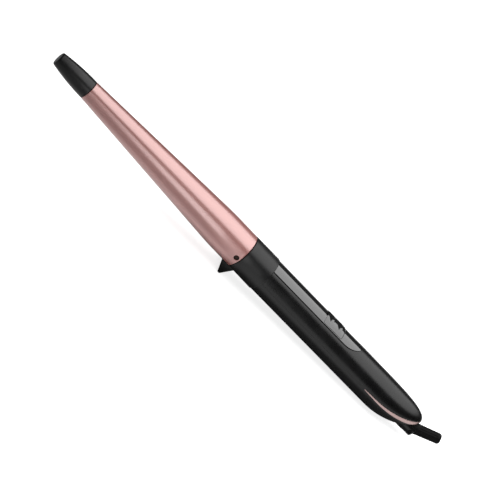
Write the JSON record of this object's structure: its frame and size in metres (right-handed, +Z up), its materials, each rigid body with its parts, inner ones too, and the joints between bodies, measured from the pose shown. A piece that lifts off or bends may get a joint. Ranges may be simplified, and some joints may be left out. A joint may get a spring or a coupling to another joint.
{
  "type": "curling wand",
  "caption": "Hair curling wand: tapered heated barrel with cool tip, rest foot, round handle with glossy panel and slide switch, and a swivelling, tilting cord outlet.",
  "frame": {"origin": "centre of the flat rest face under the collar's foot, on the surface that the wand rests on", "axes": "+X along the wand towards the cord end, +Z up from the surface, +Y to the left of someone who looks along +X; the wand leans 3.3 degrees, barrel tip up"},
  "size_m": [0.3492, 0.0254, 0.0335],
  "materials": {
    "rose_barrel": "satin",
    "rose_trim": "polished",
    "satin_black": "satin",
    "gloss_black": "gloss",
    "boot_rubber": "matte",
    "heat_plastic": "matte",
    "steel": "satin",
    "plain_aluminium": "satin",
    "contact_brass": "satin",
    "heater_ceramic": "matte",
    "insulating_film": "gloss",
    "board": "satin",
    "live_wire": "satin",
    "neutral_wire": "satin"
  },
  "bodies": {
    "handle": {"barrel": "rose_barrel", "cool_tip": "satin_black", "tip_holder": "heat_plastic", "tip_screw": "steel", "clamp_plate_upper": "plain_aluminium", "clamp_plate_lower": "plain_aluminium", "ceramic_heater": "heater_ceramic", "electrode_live": "plain_aluminium", "electrode_neutral": "plain_aluminium", "insulating_sleeve": "insulating_film", "spreader_spring_left": "steel", "spreader_spring_right": "steel", "thermal_fuse": "steel", "barrel_socket": "heat_plastic", "barrel_screw": "steel", "collar": "satin_black", "upper_shell": "satin_black", "lower_shell": "satin_black", "control_panel": "gloss_black", "trim_band": "rose_trim", "shell_screw_front": "steel", "shell_screw_rear": "steel", "switch_body": "heat_plastic", "circuit_board": "board", "power_diode": "satin_black", "contact_carrier": "heat_plastic", "contact_spring_live": "contact_brass", "contact_spring_neutral": "contact_brass", "heater_lead_live": "live_wire", "heater_lead_neutral": "neutral_wire", "contact_lead_live": "live_wire", "contact_lead_neutral": "neutral_wire"},
    "switch": {"switch_knob": "gloss_black", "switch_slider": "satin_black"},
    "swivel": {"swivel_rotor": "satin_black", "slip_ring_live": "contact_brass", "slip_ring_neutral": "contact_brass"},
    "boot": {"cord_boot": "boot_rubber"}
  },
  "joints": [
    {"name": "switch_slide", "type": "slide", "parent": "handle", "child": "switch", "axis": [-0.9989, 0, 0.0467], "range_m": [0, 0.006]},
    {"name": "cord_swivel", "type": "hinge", "parent": "handle", "child": "swivel", "pos_m": [0.1642, 0, 0.00923], "axis": [0.9984, 0, -0.0572], "continuous": true},
    {"name": "boot_tilt", "type": "hinge", "parent": "swivel", "child": "boot", "pos_m": [0.1642, 0, 0.00923], "axis": [0, 1, 0], "range_deg": [0, 53]}
  ]
}
